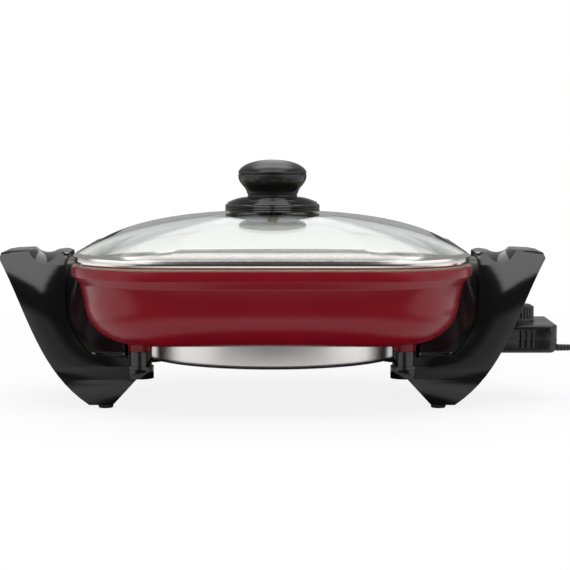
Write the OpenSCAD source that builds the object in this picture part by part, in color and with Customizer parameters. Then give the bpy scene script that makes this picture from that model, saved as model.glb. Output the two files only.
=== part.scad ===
// Electric skillet: a square cast pan carried by two black leg handles, with a
// domed glass lid and a plug-in heat control on a short cord.
// Millimetres, +Z up, table at z = 0. The pan's side handles lie along X.

/* [Pan] */
// Width of the pan across its lip
pan_w = 301; // [290:1:312]
// Corner radius of the lip
lip_r = 75; // [66:1:84]
// Height of the lip above the table
lip_z = 112; // [106:1:118]
// Depth of the pan outside, from lip to underside
pan_depth = 58.4; // [52:0.2:62]
// Wall and floor thickness of the casting
pan_wall = 4; // [3:0.25:5]
// Height of the band below the lip
band_h = 7.2; // [5:0.2:9]
// How far the wall steps in below the band
band_step = 6; // [4:0.5:7]
// Radius of the curve from wall to underside
belly_r = 33; // [26:1:36]
// Radius of the four cast bosses that stand on the handles
boss_r = 9.1; // [7.5:0.1:10]
// Height of the cast bosses below the underside
boss_h = 10; // [8:0.5:12]
// Distance of each boss axis in from the lip, along the handles
boss_inset = 49; // [46:0.5:54]
// Distance of each boss axis from the middle, across the handles
boss_y = 52; // [49:0.5:54]

/* [Lid] */
// Height of the glass crown above the lip
crown_h = 37.2; // [33:0.2:41]
// Thickness of the glass
glass_t = 4; // [3:0.25:4.5]
// Height of the steel rim that holds the glass
rim_h = 8; // [7:0.25:9]
// Depth of the locating skirt that drops inside the lip
skirt_drop = 3.5; // [2:0.25:5]
// Radius of the flange under the knob
flange_r = 37.5; // [32:0.5:42]
// Thickness of the flange at its edge
flange_edge = 5.6; // [4:0.2:7]
// Widest radius of the knob
knob_r = 27; // [24:0.5:30]
// Radius of the knob's neck
neck_r = 19.5; // [16:0.5:21]
// Height of the knob above the glass
knob_h = 40.8; // [36:0.4:46]
// Radius of the knob's fixing screw
knob_screw_r = 2.4; // [2:0.1:3]

/* [Handles] */
// Reach of each handle beyond the lip
handle_reach = 62.5; // [56:0.5:70]
// Height of the handle tops above the lip
handle_rise = 7.4; // [6:0.2:9]
// Depth of a handle at its top
grip_depth = 47; // [42:1:52]
// Depth over the legs at the table
leg_spread = 123; // [118:1:128]
// Wall of the moulding
handle_wall = 3; // [2.4:0.2:3.6]
// How far the inner web stands behind the face of the leg
web_setback = 6; // [4:0.5:8]
// Width of the arch between the legs
arch_w = 76; // [73:0.5:78]
// Height of the arch above the table
arch_h = 80; // [77:0.5:83]
// Radius of the finger scoop in the top
scoop_r = 14.5; // [12:0.5:16]
// Depth of the scoop at the faces
scoop_depth = 7; // [5:0.25:8]
// How much higher the scoop is in the middle
scoop_crown = 4; // [2:0.5:5]
// Height of the turret that meets the cast boss
turret_h = 11.1; // [9:0.1:12]
// Height of the foot of each turret
turret_base_h = 9.7; // [8:0.1:11]
// Radius of a foot pad
pad_r = 5.7; // [5:0.1:6.5]
// Height of a foot pad below the leg
pad_h = 3; // [2:0.25:4]
// Radius of the handle screws
handle_screw_r = 2; // [1.6:0.1:2.4]

/* [Heating] */
// Radius of the element ring
element_r = 82; // [74:1:86]
// Radius of the element tube
element_tube_r = 4; // [3.2:0.1:4.4]
// Distance between the two contact pins
pin_pitch = 28; // [25:0.5:32]
// Radius of a contact pin
pin_r = 2.35; // [2:0.05:2.6]
// Length of a contact pin beyond the port plate
pin_len = 18; // [15:0.5:20]
// Radius of the heat reflector
reflector_r = 101.8; // [98:0.2:103]
// Depth of the heat reflector
reflector_h = 18.5; // [16:0.5:20]
// Thickness of the heat reflector
reflector_t = 1; // [0.8:0.1:1.4]

/* [Control] */
// Length of the control housing
ctrl_len = 83; // [78:0.5:88]
// Width of the control housing
ctrl_w = 69; // [66:0.5:70]
// Height of the control housing
ctrl_h = 22.2; // [20:0.2:24]
// Wall of the control housing
ctrl_wall = 2.2; // [1.8:0.1:2.6]
// Radius of the dial
dial_r = 14; // [12:0.25:15]
// Height of the dial
dial_h = 12.3; // [10:0.25:13]
// Grooves around the dial
dial_grooves = 32; // [24:1:40]
// Length of the probe outside the housing
probe_len = 41; // [36:1:44]
// Radius of the probe
probe_r = 3.2; // [2.6:0.1:3.4]

/* [Cord] */
// Diameter of the cord
cord_d = 4.1; // [3.6:0.1:4.2]
// Length of the strain relief outside the housing
relief_len = 26; // [24:1:28]

/* [Fits] */
// Play of parts that slide or turn in each other
slide_gap = 0.3; // [0.2:0.05:0.4]
// Play of a screw, pin or shaft in its hole
hole_gap = 0.08; // [0.04:0.01:0.1]
// Space between the pan's side and the handles
web_gap = 1.5; // [1:0.25:2]

/* [Hidden] */
$fn = 72;

red = [0.5, 0.05, 0.11];
black = [0.08, 0.08, 0.085];
steel = [0.74, 0.73, 0.71];
brass = [0.75, 0.6, 0.32];
ceramic = [0.9, 0.88, 0.82];

pan_half = pan_w / 2;
corner_c = pan_half - lip_r;            // the four corner axes stand at +-corner_c
under_z = lip_z - pan_depth;
wall_lean = 3;                          // the wall leans in by this much, down to the belly
belly_c = lip_r - band_step - wall_lean - belly_r;
belly_x = corner_c + belly_c;
belly_top = under_z + belly_r;
boss_x = pan_half - boss_inset;
boss_z = under_z - boss_h;

arc_n = 10;
function arc(cx, cy, r, a0, a1, n = arc_n) =
    [for (i = [0:n]) let (a = a0 + (a1 - a0) * i / n) [cx + r * cos(a), cy + r * sin(a)]];
function bezier(a, b, c, d, n) =
    [for (i = [0:n]) let (t = i / n, u = 1 - t) u*u*u * a + 3*u*u*t * b + 3*u*t*t * c + t*t*t * d];
function reversed(p) = [for (i = [len(p) - 1:-1:0]) p[i]];
function unit(v) = v / norm(v);
function right_of(v) = [v[1], -v[0]];
// Moves a closed outline inwards by d. Its points run clockwise.
function inset(p, d) =
    let (n = len(p))
    [for (i = [0:n - 1])
        let (a = right_of(unit(p[i] - p[(i + n - 1) % n])), b = right_of(unit(p[(i + 1) % n] - p[i])))
        p[i] + d * (a + b) / (1 + a * b)];
// Height of the belly's surface at x, a given depth into the wall
function belly_z(x, depth) =
    belly_top - sqrt(pow(belly_r - depth, 2) - pow(x - belly_x, 2));

// Sweeps a profile, drawn outwards from the corner axis, around a square with round corners
module around() {
    for (k = [0:3]) rotate(90 * k) translate([corner_c, corner_c, 0]) {
        rotate_extrude(angle = 90) children();
        rotate([90, 0, 0]) linear_extrude(2 * corner_c) children();
    }
}

module rounded(l, w, r) {
    translate([r, 0]) square([l - 2 * r, w]);
    translate([0, r]) square([l, w - 2 * r]);
    for (x = [r, l - r], y = [r, w - r]) translate([x, y]) circle(r);
}

// A rod along +X
module rod_x(x0, x1, r) {
    translate([x0, 0, 0]) rotate([0, 90, 0]) cylinder(h = x1 - x0, r = r);
}

// A block given by its low and high corners
module block(lo, hi) {
    translate(lo) cube(hi - lo);
}

module each_boss() {
    for (x = [-1, 1], y = [-1, 1]) translate([x * boss_x, y * boss_y, 0]) children();
}

// ---- Pan ----

lip_edge = 0.8;
wall_miter = pan_wall * tan(22.5);
pan_outside = concat(
    [[lip_r - lip_edge, lip_z], [lip_r, lip_z - lip_edge], [lip_r, lip_z - band_h],
     [lip_r - band_step, lip_z - band_h - band_step]],
    arc(belly_c, belly_top, belly_r, 0, -90));
pan_inside = concat(
    [[lip_r - pan_wall, lip_z], [lip_r - pan_wall, lip_z - band_h + wall_miter],
     [lip_r - band_step - pan_wall, lip_z - band_h - band_step + wall_miter]],
    arc(belly_c, belly_top, belly_r - pan_wall, 0, -90));
pan_section = concat(pan_outside, [[0, under_z], [0, under_z + pan_wall]], reversed(pan_inside));

port_t = 4.5;
ctrl_gap = 6.5;                         // from the port plate to the control's housing
port_x = belly_x + 20;
port_half = pin_pitch / 2 + 13;
port_z = under_z - element_tube_r + 0.4;
sleeve_r = probe_r + slide_gap + 0.9;
sleeve_z = under_z - sleeve_r - slide_gap;
port_bottom = sleeve_z - sleeve_r - 2;

post_ring_r = 62;
post_r = 5;
reflector_screw_r = 1.5;
reflector_z = under_z - reflector_h;

module each_post() {
    for (a = [60, 180, 300]) rotate(a) translate([post_ring_r, 0, 0]) children();
}

module port_plate() {
    rotate([90, 0, 0]) linear_extrude(2 * port_half, center = true)
        polygon([[port_x, port_bottom], [port_x + port_t, port_bottom],
            [port_x + port_t, belly_z(port_x + port_t, pan_wall / 2)],
            [port_x, belly_z(port_x, pan_wall / 2)]]);
}

module at_pins() {
    for (y = [-1, 1]) translate([0, y * pin_pitch / 2, port_z]) children();
}

module pan_body() {
    color(red) from_pan() difference() {
        union() {
            around() polygon(pan_section);
            block([-corner_c, -corner_c, under_z], [corner_c, corner_c, under_z + pan_wall]);
            each_boss() translate([0, 0, boss_z])
                cylinder(h = boss_h + pan_wall / 2, r1 = boss_r, r2 = boss_r + 1);
            each_post() translate([0, 0, reflector_z + reflector_t])
                cylinder(h = reflector_h - reflector_t + pan_wall / 2, r = post_r);
            port_plate();
        }
        each_boss() translate([0, 0, boss_z - 1])
            cylinder(h = boss_h, r = handle_screw_r + hole_gap);
        each_post() translate([0, 0, reflector_z])
            cylinder(h = reflector_h - 2, r = reflector_screw_r + hole_gap);
        at_pins() rod_x(port_x - 1, port_x + port_t + 1, element_tube_r + hole_gap);
        translate([0, 0, sleeve_z]) rod_x(port_x - 1, port_x + port_t + 1, sleeve_r + hole_gap);
    }
}

// ---- Heating ----

elbow_r = 12;
elbow_a = asin((pin_pitch / 2 + elbow_r) / (element_r + elbow_r));

// The tube's section, its top pressed flat against the pan's underside
module element_section() {
    intersection() {
        circle(element_tube_r);
        translate([-element_tube_r, -element_tube_r])
            square([2 * element_tube_r, element_tube_r + under_z - port_z]);
    }
}

module cold_end() {
    rotate(elbow_a) translate([element_r + elbow_r, 0, 0]) rotate(180)
        rotate_extrude(angle = 90 - elbow_a) translate([elbow_r, 0]) element_section();
    end_x = (element_r + elbow_r) * cos(elbow_a);
    translate([end_x, pin_pitch / 2, 0]) rotate([90, 0, 90])
        linear_extrude(port_x - end_x) element_section();
    translate([0, pin_pitch / 2, 0]) rod_x(port_x, port_x + port_t, element_tube_r);
}

// A tube bent to a ring that is open towards the port
module heating_element() {
    color([0.36, 0.35, 0.34]) from_pan() translate([0, 0, port_z]) {
        rotate(elbow_a) rotate_extrude(angle = 360 - 2 * elbow_a) translate([element_r, 0]) element_section();
        cold_end();
        mirror([0, 1, 0]) cold_end();
    }
}

insulator_t = 3.5;

module terminal_insulators() {
    color(ceramic) from_pan() at_pins() difference() {
        rod_x(port_x + port_t, port_x + port_t + insulator_t, element_tube_r + 1);
        rod_x(port_x, port_x + port_t + insulator_t + 1, pin_r + hole_gap);
    }
}

module terminal_pins() {
    color(steel) from_pan() at_pins() {
        rod_x(port_x + port_t, port_x + port_t + pin_len - pin_r, pin_r);
        translate([port_x + port_t + pin_len - pin_r, 0, 0]) rotate([0, 90, 0])
            cylinder(h = pin_r, r1 = pin_r, r2 = pin_r / 2);
    }
}

sleeve_x = port_x + port_t + ctrl_gap - probe_len - 2;

module probe_sleeve() {
    color(steel) from_pan() translate([0, 0, sleeve_z]) difference() {
        rod_x(sleeve_x, port_x + port_t + 1, sleeve_r);
        rod_x(sleeve_x + 1, port_x + port_t + 2, probe_r + slide_gap);
    }
}

reflector_edge = 4;
reflector_gap = 1.5;                    // least space between the dish and a turret
emboss_r = 34;
emboss_h = 1.5;

// Half the dish in section, at its outside or, with t, at its inside
function dish(t) = concat(
    [[0, reflector_z + emboss_h + t], [emboss_r, reflector_z + emboss_h + t],
     [emboss_r + 3, reflector_z + t]],
    arc(reflector_r - reflector_edge, reflector_z + reflector_edge, reflector_edge - t, -90, 0, 6),
    [[reflector_r - t, under_z]]);

module heat_reflector() {
    notch_half = pin_pitch / 2 + element_tube_r + 1.5;
    color(steel) from_pan() difference() {
        rotate_extrude() polygon(concat(dish(0), reversed(dish(reflector_t))));
        block([reflector_r - 15, -notch_half, sleeve_z - sleeve_r - 1],
            [reflector_r + 1, notch_half, under_z + 1]);
        each_post() translate([0, 0, reflector_z - 1])
            cylinder(h = reflector_t + 2, r = reflector_screw_r + 0.3);
        each_boss() translate([0, 0, reflector_z - 1])
            cylinder(h = reflector_h + 2, r = turret_base_r + reflector_gap);
    }
}

module reflector_screws() {
    color(steel) from_pan() each_post() {
        translate([0, 0, reflector_z - 2]) cylinder(h = 2, r1 = 2.6, r2 = 3.6);
        translate([0, 0, reflector_z - 1]) cylinder(h = reflector_h - 6, r = reflector_screw_r);
    }
}

// ---- Handles: outlines in u along X from the lip, and z; drawn for the right side ----

handle_top = lip_z + handle_rise;
handle_x = pan_half + handle_reach;
turret_z = boss_z - turret_h;
arm_z = turret_z - turret_base_h;
turret_r = boss_r;
turret_base_r = boss_r + 1.4;
foot_u = -22.5;
foot_half = pad_r + 0.5;
foot_y = leg_spread / 2 - pad_r - 3;
ear_u = 9.6;

// The legs lean together: each face is part of a cylinder that stands upright at the table
face_r = (pow((leg_spread - grip_depth) / 2, 2) + pow(handle_top, 2)) / (leg_spread - grip_depth);
face_c = face_r - leg_spread / 2;

leg_outer = bezier([handle_reach, handle_top - 6], [handle_reach - 26, 0.6 * handle_top],
    [handle_reach - 35, 0.24 * handle_top], [foot_u + 12, pad_h], 16);
leg_inner = bezier([foot_u - 4, turret_z], [-5.5, turret_z + 7.5], [ear_u, 0.52 * handle_top],
    [ear_u, 0.75 * handle_top], 10);
leg_outline = concat(
    [[ear_u, handle_top - 2.6], [ear_u + 3.5, handle_top - 1.4], [ear_u + 18, handle_top - 0.3],
     [handle_reach - 20, handle_top], [handle_reach - 8, handle_top - 0.6],
     [handle_reach - 1.6, handle_top - 1.8]],
    leg_outer,
    [[foot_u - foot_half, pad_h], [-boss_inset + 2, arm_z], [-boss_inset, arm_z],
     [-boss_inset, turret_z]],
    leg_inner);

web_top = lip_z;
web_bottom = turret_z + 7.5;
web_outline = concat(
    [[web_gap + 0.5, web_top], [ear_u + 5, web_top], [ear_u + 5, 0.75 * handle_top]],
    reversed([for (p = leg_inner) if (p[1] > web_bottom) [p[0] + 4, p[1]]]),
    [[belly_x - pan_half + 5.5, web_bottom]],
    reversed(arc(belly_x - pan_half, belly_top, belly_r + web_gap, 0, -80)),
    [[web_gap - band_step, lip_z - band_h - band_step - web_gap / 2],
     [web_gap, lip_z - band_h - web_gap]]);
rail_outline = [[turret_r / 2 - boss_inset, turret_z - 2], [turret_r / 2 - boss_inset, web_bottom - 1],
    [-12, web_bottom + 1], [-14, turret_z + 3], [foot_u, turret_z - 2]];

// A slab of the handle: an outline in u and z, cut by the two leaning faces
module slab(outline, setback) {
    intersection() {
        translate([pan_half, 0, 0]) rotate([90, 0, 0])
            linear_extrude(leg_spread, center = true) polygon(outline);
        rotate([90, 0, 90]) linear_extrude(2 * handle_x) intersection() {
            translate([-face_c, 0]) circle(face_r - setback, $fn = 360);
            translate([face_c, 0]) circle(face_r - setback, $fn = 360);
        }
    }
}

// The round tool of the scoop: a tube bent over the top, crowned in the middle
module scoop(extra) {
    half = grip_depth / 2;
    bend = (pow(half, 2) + pow(scoop_crown, 2)) / (2 * scoop_crown);
    low = handle_top - scoop_depth;
    translate([pan_half + ear_u + 18, 0, low + scoop_crown - bend])
        rotate([0, 90, 0]) rotate_extrude($fn = 180)
            translate([bend + scoop_r, 0]) circle(scoop_r + extra);
}

module at_legs() {
    for (y = [-1, 1]) translate([boss_x, y * boss_y, 0]) children();
}

module at_feet() {
    for (y = [-1, 1]) translate([pan_half + foot_u, y * foot_y, 0]) children();
}

arch_r = 16;
screw_head_r = 2 * handle_screw_r;
screw_seat_z = arm_z + 5;

module handle() {
    difference() {
        union() {
            difference() {
                slab(leg_outline, 0);
                slab(inset(leg_outline, handle_wall), handle_wall);
            }
            difference() {
                slab(web_outline, web_setback);
                slab(inset(web_outline, handle_wall), web_setback + handle_wall);
            }
            difference() {
                slab(rail_outline, web_setback - 2.4);
                slab(rail_outline, web_setback + handle_wall - 1);
            }
            intersection() {
                slab(leg_outline, 0);
                scoop(handle_wall);
            }
            at_legs() {
                translate([0, 0, turret_z]) cylinder(h = turret_h, r = turret_r);
                translate([0, 0, arm_z]) cylinder(h = turret_base_h, r = turret_base_r);
            }
            at_feet() translate([0, 0, pad_h]) cylinder(h = handle_wall + 2, r = pad_r - 1.2);
        }
        rotate([90, 0, 90]) translate([-arch_w / 2, -arch_r]) linear_extrude(2 * handle_x)
            rounded(arch_w, arch_h + arch_r, arch_r);
        scoop(0);
        at_legs() {
            translate([0, 0, arm_z - 1]) cylinder(h = boss_z, r = handle_screw_r + hole_gap);
            translate([0, 0, arm_z - 1]) cylinder(h = screw_seat_z - arm_z + 1, r = screw_head_r + 0.4);
        }
        at_feet() translate([0, 0, pad_h - 1]) cylinder(h = handle_wall + 4, r = pad_r / 2 + hole_gap);
    }
}

module handle_right() {
    color(black) from_pan() handle();
}

module handle_left() {
    color(black) from_pan() mirror([1, 0, 0]) handle();
}

module handle_screws() {
    color(steel) from_pan() each_boss() {
        translate([0, 0, screw_seat_z - 2.4]) cylinder(h = 2.4, r1 = screw_head_r - 1, r2 = screw_head_r);
        translate([0, 0, screw_seat_z - 1])
            cylinder(h = boss_z + boss_h - 3 - screw_seat_z, r = handle_screw_r);
    }
}

module foot_pads() {
    color([0.13, 0.13, 0.13]) from_pan() for (x = [0, 1]) mirror([x, 0, 0]) at_feet() {
        cylinder(h = 0.8, r1 = pad_r - 0.8, r2 = pad_r);
        translate([0, 0, 0.8]) cylinder(h = pad_h - 0.8, r = pad_r);
        cylinder(h = pad_h + handle_wall + 1.5, r = pad_r / 2);
    }
}

// ---- Lid ----

rim_edge = 1.2;                         // the rim stands this far inside the pan's lip
rim_r = lip_r - rim_edge;
rim_t = 0.8;
glass_r = rim_r - rim_t - slide_gap;
glass_half = corner_c + glass_r;
crown_z = lip_z + crown_h;
glass_edge_z = lip_z + rim_h + 0.3;     // top of the glass at its edge
dome_drop = crown_z - glass_edge_z;
edge_share = 0.26;                      // share of the drop that comes near the edge
glass_rings = 10;
glass_sides = 56;

// Distance from the middle to the glass's outline, in direction a
function outline_r(a) =
    let (u = max(abs(cos(a)), abs(sin(a))), v = min(abs(cos(a)), abs(sin(a))))
    glass_half * v <= corner_c * u ? glass_half / u
        : corner_c * (u + v) + sqrt(pow(glass_r, 2) - pow(corner_c * (u - v), 2));
function dome_z(s) = crown_z - dome_drop * ((1 - edge_share) * pow(s, 2) + edge_share * pow(s, 6));
// The dome is round at its crown and takes the outline's shape towards its edge
function dome_point(s, a, drop) =
    let (r = s * (glass_half + (outline_r(a) - glass_half) * pow(s, 0.7)))
    [r * cos(a), r * sin(a), dome_z(s) - drop];
function ring_points(s, drop) =
    [for (k = [0:glass_sides - 1]) dome_point(s, 360 * k / glass_sides, drop)];
function band_faces(a, b, n) =
    [for (k = [0:n - 1]) let (l = (k + 1) % n) each [[a + k, b + l, a + l], [a + k, b + k, b + l]]];
function rim_ring(drop) = [for (i = [1:glass_rings]) each ring_points(i / glass_rings, drop)];

module glass_shell() {
    n = glass_sides;
    m = glass_rings;
    top = concat([[0, 0, crown_z]], rim_ring(0));
    low = concat([[0, 0, crown_z - glass_t]], rim_ring(glass_t));
    shift = len(top);
    last = 1 + (m - 1) * n;
    polyhedron(concat(top, low), concat(
        [for (k = [0:n - 1]) [0, 1 + (k + 1) % n, 1 + k]],
        [for (i = [0:m - 2]) each band_faces(1 + i * n, 1 + (i + 1) * n, n)],
        band_faces(last, shift + last, n),
        [for (i = [0:m - 2]) each band_faces(shift + 1 + (i + 1) * n, shift + 1 + i * n, n)],
        [for (k = [0:n - 1]) [shift, shift + 1 + k, shift + 1 + (k + 1) % n]]));
}

module lid_glass() {
    color([0.85, 0.87, 0.87, 0.5]) from_pan() difference() {
        glass_shell();
        translate([0, 0, crown_z - 10]) cylinder(h = 20, r = knob_screw_r + 0.6);
    }
}

// The pressed steel rim in section: a foot on the lip, a skirt inside it, and a lip over the glass
module rim_section() {
    shelf_z = glass_edge_z - glass_t;
    inner_r = glass_r - 4.6;
    over_z = dome_z((corner_c + inner_r) / glass_half) + 0.35;
    edge_r = glass_r + slide_gap;
    lean = unit([over_z - glass_edge_z - 0.35, edge_r - inner_r]);
    curl_r = 2.4;
    curl = [rim_r - curl_r, (lean * [inner_r, over_z] + rim_t - curl_r - lean[0] * (rim_r - curl_r)) / lean[1]];
    difference() {
        polygon(concat(
            [[inner_r, shelf_z], [inner_r, lip_z - skirt_drop],
             [lip_r - pan_wall - 0.8, lip_z - skirt_drop], [lip_r - pan_wall - 0.8, lip_z],
             [rim_r - 1.2, lip_z], [rim_r, lip_z + 2]],
            arc(curl[0], curl[1], curl_r, 0, atan2(lean[1], lean[0]), 4),
            [[inner_r, over_z] + rim_t * lean, [inner_r, over_z], [edge_r, glass_edge_z + 0.35],
             [edge_r, shelf_z]]));
        polygon([[inner_r + rim_t, lip_z - skirt_drop - 1], [inner_r + rim_t, shelf_z - rim_t],
            [rim_r - rim_t, shelf_z - rim_t], [rim_r - rim_t, lip_z + 2.3],
            [rim_r - 1.5, lip_z + rim_t], [lip_r - pan_wall - 0.8 - rim_t, lip_z + rim_t],
            [lip_r - pan_wall - 0.8 - rim_t, lip_z - skirt_drop - 1]]);
    }
}

module lid_rim() {
    color(steel) from_pan() around() rim_section();
}

gasket_t = 1;
flange_z = crown_z + gasket_t;          // underside of the flange's hub
flange_bottom = dome_z(flange_r / glass_half) + 1.1;
flange_slope = 8;                       // how far in the flange's top rises to its shoulder
neck_z = flange_bottom + flange_edge + 4.6;
cap_h = 11.3;
seam_z = crown_z + knob_h - cap_h;      // widest level of the knob
waist_rise = 10;
flare_drop = 9;
spigot_r = 9;                           // the cap's spigot and the socket that takes it
spigot_h = 3;
spigot_socket_h = 6;
hub_r = 13;
screw_hole_r = knob_screw_r + hole_gap;

module knob_gasket() {
    color([0.2, 0.2, 0.2]) from_pan() translate([0, 0, crown_z]) difference() {
        cylinder(h = gasket_t, r = hub_r);
        translate([0, 0, -1]) cylinder(h = gasket_t + 2, r = screw_hole_r);
    }
}

module knob_flange() {
    top_z = flange_bottom + flange_edge;
    color(black) from_pan() rotate_extrude() polygon(concat(
        [[screw_hole_r, flange_z], [hub_r, flange_z], [hub_r, top_z - 3], [flange_r - 3, top_z - 3],
         [flange_r - 2.2, flange_bottom], [flange_r, flange_bottom], [flange_r, top_z - 0.6],
         [flange_r - 0.6, top_z]],
        bezier([flange_r - 2, top_z], [flange_r - flange_slope, top_z + 2.4], [neck_r + 6, neck_z],
            [neck_r, neck_z], 6),
        [[screw_hole_r, neck_z]]));
}

module knob_body() {
    color(black) from_pan() rotate_extrude() polygon(concat(
        [[screw_hole_r, neck_z], [neck_r, neck_z], [neck_r, neck_z + 2.6]],
        bezier([neck_r + 0.6, neck_z + 3.4], [neck_r + 1.6, neck_z + waist_rise],
            [knob_r, seam_z - flare_drop], [knob_r, seam_z - 0.8], 8),
        [[knob_r - 0.6, seam_z], [spigot_r, seam_z], [spigot_r, seam_z - spigot_socket_h],
         [screw_hole_r, seam_z - spigot_socket_h]]));
}

module knob_cap() {
    color(black) from_pan() rotate_extrude() polygon(concat(
        [[0, seam_z - spigot_h], [spigot_r - slide_gap, seam_z - spigot_h],
         [spigot_r - slide_gap, seam_z], [knob_r - 0.6, seam_z]],
        bezier([knob_r, seam_z + 0.7], [knob_r - 3.5, seam_z + 7], [knob_r / 2, crown_z + knob_h],
            [0, crown_z + knob_h], 10)));
}

washer_r = 9;
washer_t = 1.3;
washer_z = dome_z(1 / glass_rings) - glass_t - washer_t;

module knob_washer() {
    color(steel) from_pan() translate([0, 0, washer_z]) difference() {
        cylinder(h = washer_t, r = washer_r);
        translate([0, 0, -1]) cylinder(h = washer_t + 2, r = screw_hole_r);
    }
}

module knob_screw() {
    color(steel) from_pan() {
        translate([0, 0, washer_z - 2.6]) cylinder(h = 2.6, r1 = 3.4, r2 = 4.6);
        translate([0, 0, washer_z - 1])
            cylinder(h = seam_z - spigot_socket_h - 2 - washer_z, r = knob_screw_r);
    }
}

// ---- Control ----

ctrl_x0 = port_x + port_t + ctrl_gap;
ctrl_x1 = ctrl_x0 + ctrl_len;
ctrl_z0 = port_z - 10.3;
ctrl_z1 = ctrl_z0 + ctrl_h;
floor_z = ctrl_z0 + ctrl_wall;
ctrl_corner = 7;
ctrl_edge = 2.6;
dial_inset = 29.8;
dial_x = ctrl_x1 - dial_inset;
dial_gap = 0.5;
dial_z = ctrl_z1 + dial_gap;
shaft_r = 3;
cord_inset = 10.5;                      // from the housing's side to the cord
cord_y = cord_inset - ctrl_w / 2;
cord_z = ctrl_z0 + 3.3;
relief_r = cord_d / 2 + 0.45;
relief_in = 22;                         // length of the relief inside the housing

// The housing's form, drawn in by t: a plan, a side view and an end view, each with round corners
module ctrl_form(t) {
    l = ctrl_len - 2 * t;
    w = ctrl_w - 2 * t;
    h = ctrl_h - 2 * t;
    translate([ctrl_x0 + t, 0, ctrl_z0 + t]) intersection() {
        translate([0, -w / 2, 0]) linear_extrude(h) rounded(l, w, ctrl_corner - t);
        translate([0, w / 2, 0]) rotate([90, 0, 0]) linear_extrude(w) union() {
            rounded(l, h, ctrl_edge - t / 2);
            translate([0, h / 2]) square([l / 2, h / 2 - ctrl_edge]);
        }
        rotate([90, 0, 90]) translate([-w / 2, 0]) linear_extrude(l) rounded(w, h, ctrl_edge - t / 2);
        translate([0, w / 2, 0]) rotate([90, 0, 0]) linear_extrude(w) union() {
            square([l - ctrl_corner, h]);
            translate([l - ctrl_corner, ctrl_corner]) square([ctrl_corner, h - ctrl_corner]);
            translate([l - ctrl_corner, ctrl_corner]) circle(ctrl_corner);
        }
    }
}

grip_x = dial_x + 5.8;                  // middle of the ribbed grip on each side
grip_len = 14;
rib_pitch = 4.4;

module grip_cut() {
    for (y = [0, 1]) mirror([0, y, 0]) difference() {
        block([grip_x - grip_len / 2, ctrl_w / 2 - 1.2, ctrl_z0 + 4],
            [grip_x + grip_len / 2, ctrl_w / 2 + 1, ctrl_z1 - 4]);
        for (k = [-1:1]) translate([grip_x + k * rib_pitch, ctrl_w / 2 - 1.2, ctrl_z0])
            cylinder(h = ctrl_h, r = 1.1, $fn = 24);
    }
}

post_inset = 8;
end_post_inset = 10;
mid_post_inset = 30;
post_spots = [[ctrl_x0 + post_inset, ctrl_w / 2 - post_inset],
    [ctrl_x0 + post_inset, post_inset - ctrl_w / 2],
    [ctrl_x1 - end_post_inset, ctrl_w / 2 - end_post_inset],
    [ctrl_x1 - mid_post_inset, post_inset - ctrl_w / 2]];
ctrl_screw_z = ctrl_z0 + 2;
ctrl_screw_len = 14;

module at_posts() {
    for (p = post_spots) translate([p[0], p[1], 0]) children();
}

module ctrl_holes() {
    at_pins() rod_x(ctrl_x0 - 1, ctrl_x0 + ctrl_wall + 1, pin_r + slide_gap + 1.2);
    translate([0, 0, sleeve_z]) rod_x(ctrl_x0 - 1, ctrl_x0 + ctrl_wall + 1, probe_r + hole_gap);
    translate([0, cord_y, cord_z]) rod_x(ctrl_x1 - relief_in - 1, ctrl_x1 + 1, relief_r + hole_gap);
}

socket_r = pin_r + slide_gap + 1;
socket_x0 = ctrl_x0 + ctrl_wall + 0.3;
socket_len = 17;
frame_z = floor_z + 1.6;

module control_base() {
    color(black) from_pan() difference() {
        union() {
            intersection() {
                difference() {
                    ctrl_form(0);
                    ctrl_form(ctrl_wall);
                    grip_cut();
                }
                block([ctrl_x0 - 1, -ctrl_w, ctrl_z0 - 1], [ctrl_x1 + 1, ctrl_w, port_z]);
            }
            at_posts() translate([0, 0, ctrl_z0 + 0.5]) cylinder(h = port_z - ctrl_z0 - 0.5, r = 3.4);
            for (y = [-1, 1]) block(
                [socket_x0 + 4, y * pin_pitch / 2 - 3, ctrl_z0 + 0.5],
                [socket_x0 + 9, y * pin_pitch / 2 + 3, port_z]);
            for (x = [socket_x0 + 4, socket_x0 + 30])
                block([x, -7, ctrl_z0 + 0.5], [x + 6, 7, frame_z]);
        }
        ctrl_holes();
        at_pins() rod_x(socket_x0, socket_x0 + socket_len, socket_r);
        at_posts() {
            translate([0, 0, ctrl_z0 - 1]) cylinder(h = ctrl_h, r = 1.3 + hole_gap);
            translate([0, 0, ctrl_z0 - 1]) cylinder(h = 4, r = 2.6);
        }
    }
}

module control_cover() {
    color(black) from_pan() difference() {
        union() {
            intersection() {
                difference() {
                    ctrl_form(0);
                    ctrl_form(ctrl_wall);
                    grip_cut();
                }
                block([ctrl_x0 - 1, -ctrl_w, port_z], [ctrl_x1 + 1, ctrl_w, ctrl_z1 + 1]);
            }
            at_posts() translate([0, 0, port_z]) cylinder(h = ctrl_z1 - port_z - 0.5, r = 3.4);
            translate([dial_x, 0, ctrl_z1 - ctrl_wall - 1.5]) cylinder(h = 2.5, r = shaft_r + 2.5);
        }
        ctrl_holes();
        translate([dial_x, 0, port_z]) cylinder(h = ctrl_h, r = shaft_r + hole_gap);
        at_posts() translate([0, 0, ctrl_screw_z])
            cylinder(h = ctrl_screw_len + 1.3, r = 1.3 + hole_gap);
    }
}

module control_screws() {
    color(steel) from_pan() at_posts() {
        translate([0, 0, ctrl_screw_z - 0.8]) cylinder(h = 1.8, r = 2.4);
        translate([0, 0, ctrl_screw_z]) cylinder(h = ctrl_screw_len, r = 1.3);
    }
}

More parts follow.
